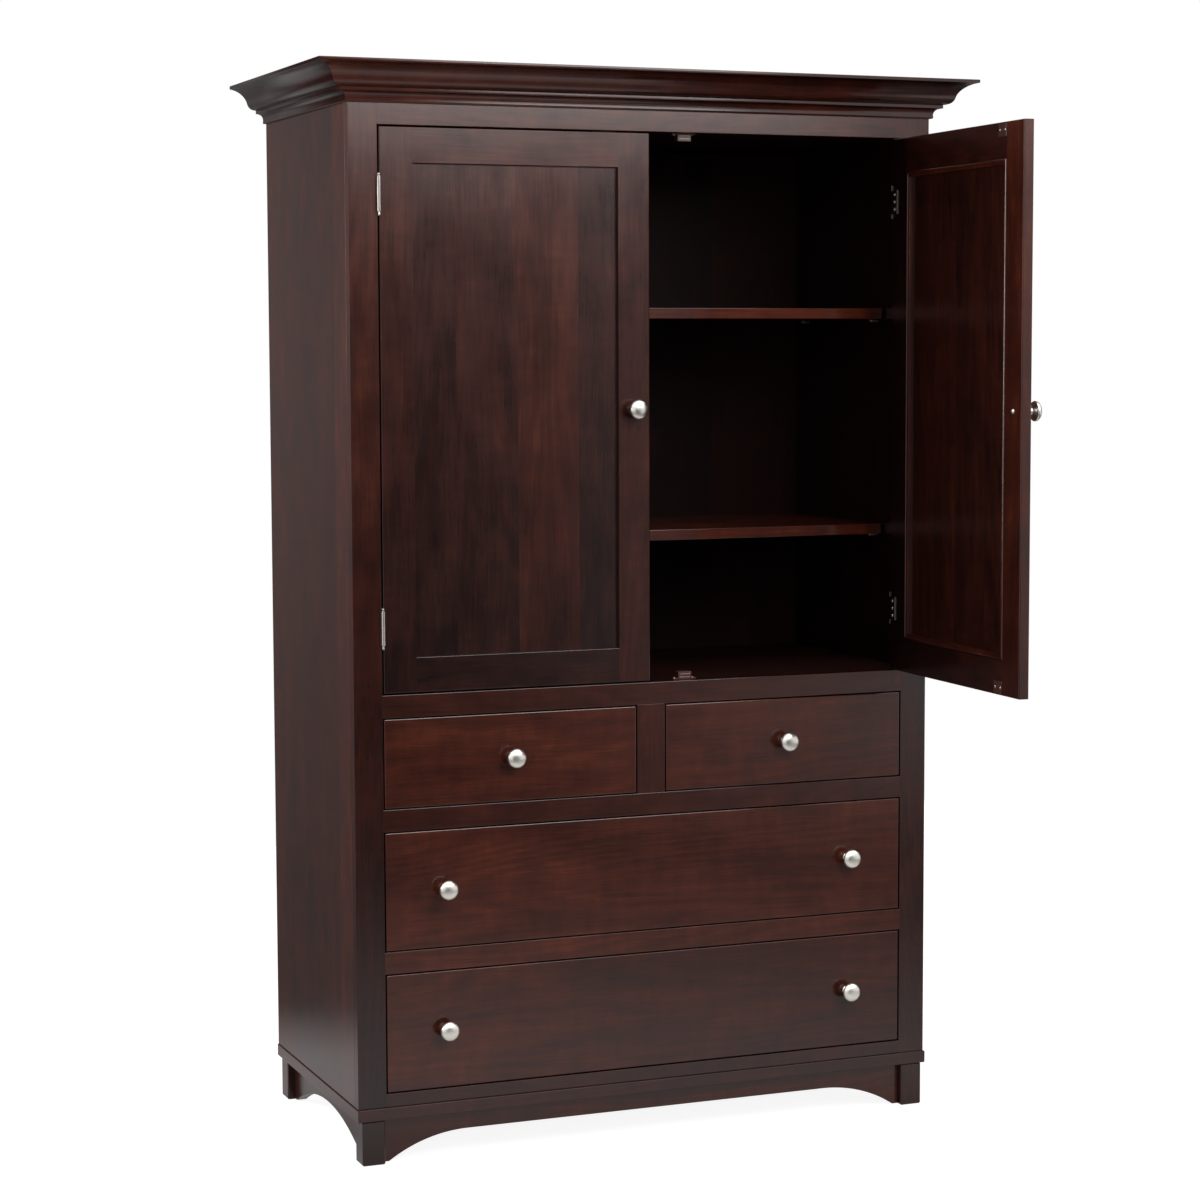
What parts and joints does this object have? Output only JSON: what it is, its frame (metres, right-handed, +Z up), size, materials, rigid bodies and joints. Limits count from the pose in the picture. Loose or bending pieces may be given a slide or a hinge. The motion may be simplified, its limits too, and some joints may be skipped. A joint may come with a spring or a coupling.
{
  "type": "television armoire",
  "caption": "Tall wooden armoire: panelled double doors over small and large inset drawers, crown moulding, arched apron, square legs.",
  "frame": {"origin": "on the floor, under the middle of the armoire's box with its right door open as pictured", "axes": "+Z up, +X to the right seen from the front, the front faces -Y"},
  "size_m": [1.258, 1.0334, 1.924],
  "materials": {
    "stained_maple": "dark espresso stain with a red cast, satin lacquer",
    "inner_maple": "dark stain, thin satin lacquer",
    "drawer_wood": "clear lacquer on pale wood",
    "nickel": "satin nickel plate",
    "brown_plastic": "moulded, matt"
  },
  "bodies": {
    "case": {"side_panel_left": "stained_maple", "side_panel_right": "stained_maple", "back_panel": "inner_maple", "top_board": "inner_maple", "deck_board": "inner_maple", "dust_board_upper": "inner_maple", "dust_board_lower": "inner_maple", "base_board": "stained_maple", "face_stile_left": "stained_maple", "face_stile_right": "stained_maple", "face_stile_middle": "stained_maple", "face_rail_top": "stained_maple", "face_rail_below_doors": "stained_maple", "face_rail_below_small_drawers": "stained_maple", "face_rail_between_large_drawers": "stained_maple", "face_rail_bottom": "stained_maple", "crown_front": "stained_maple", "crown_return_left": "stained_maple", "crown_return_right": "stained_maple", "leg_front_left": "stained_maple", "leg_front_right": "stained_maple", "leg_back_left": "stained_maple", "leg_back_right": "stained_maple", "apron_front": "stained_maple", "apron_left": "stained_maple", "apron_right": "stained_maple", "shelf_lower": "inner_maple", "shelf_upper": "inner_maple", "catch_top_left": "brown_plastic", "catch_top_right": "brown_plastic", "catch_bottom_left": "brown_plastic", "catch_bottom_right": "brown_plastic", "hinge_upper_left_frame_leaf": "nickel", "hinge_lower_left_frame_leaf": "nickel", "hinge_upper_right_frame_leaf": "nickel", "hinge_lower_right_frame_leaf": "nickel"},
    "left_door": {"door_frame_left": "stained_maple", "door_panel_left": "stained_maple", "knob_door_left": "nickel", "hinge_upper_left_door_leaf": "nickel", "hinge_lower_left_door_leaf": "nickel"},
    "right_door": {"door_frame_right": "stained_maple", "door_panel_right": "stained_maple", "knob_door_right": "nickel", "hinge_upper_right_door_leaf": "nickel", "hinge_lower_right_door_leaf": "nickel"},
    "small_drawer_left": {"drawer_front_small_left": "stained_maple", "drawer_box_small_left": "drawer_wood", "knob_small_drawer_left": "nickel"},
    "small_drawer_right": {"drawer_front_small_right": "stained_maple", "drawer_box_small_right": "drawer_wood", "knob_small_drawer_right": "nickel"},
    "large_drawer_upper": {"drawer_front_large_upper": "stained_maple", "drawer_box_large_upper": "drawer_wood", "knob_large_drawer_upper_left": "nickel", "knob_large_drawer_upper_right": "nickel"},
    "large_drawer_lower": {"drawer_front_large_lower": "stained_maple", "drawer_box_large_lower": "drawer_wood", "knob_large_drawer_lower_left": "nickel", "knob_large_drawer_lower_right": "nickel"}
  },
  "joints": [
    {"name": "left_door_hinge", "type": "hinge", "parent": "case", "child": "left_door", "pos_m": [-0.5064, -0.01222, 1.326], "axis": [0, 0, -1], "range_deg": [0, 170]},
    {"name": "right_door_hinge", "type": "hinge", "parent": "case", "child": "right_door", "pos_m": [0.5064, -0.01222, 1.326], "axis": [0, 0, 1], "range_deg": [-88, 82]},
    {"name": "small_drawer_left_slide", "type": "slide", "parent": "case", "child": "small_drawer_left", "axis": [0, -1, 0], "range_m": [0, 0.36]},
    {"name": "small_drawer_right_slide", "type": "slide", "parent": "case", "child": "small_drawer_right", "axis": [0, -1, 0], "range_m": [0, 0.36]},
    {"name": "large_drawer_upper_slide", "type": "slide", "parent": "case", "child": "large_drawer_upper", "axis": [0, -1, 0], "range_m": [0, 0.36]},
    {"name": "large_drawer_lower_slide", "type": "slide", "parent": "case", "child": "large_drawer_lower", "axis": [0, -1, 0], "range_m": [0, 0.36]}
  ]
}
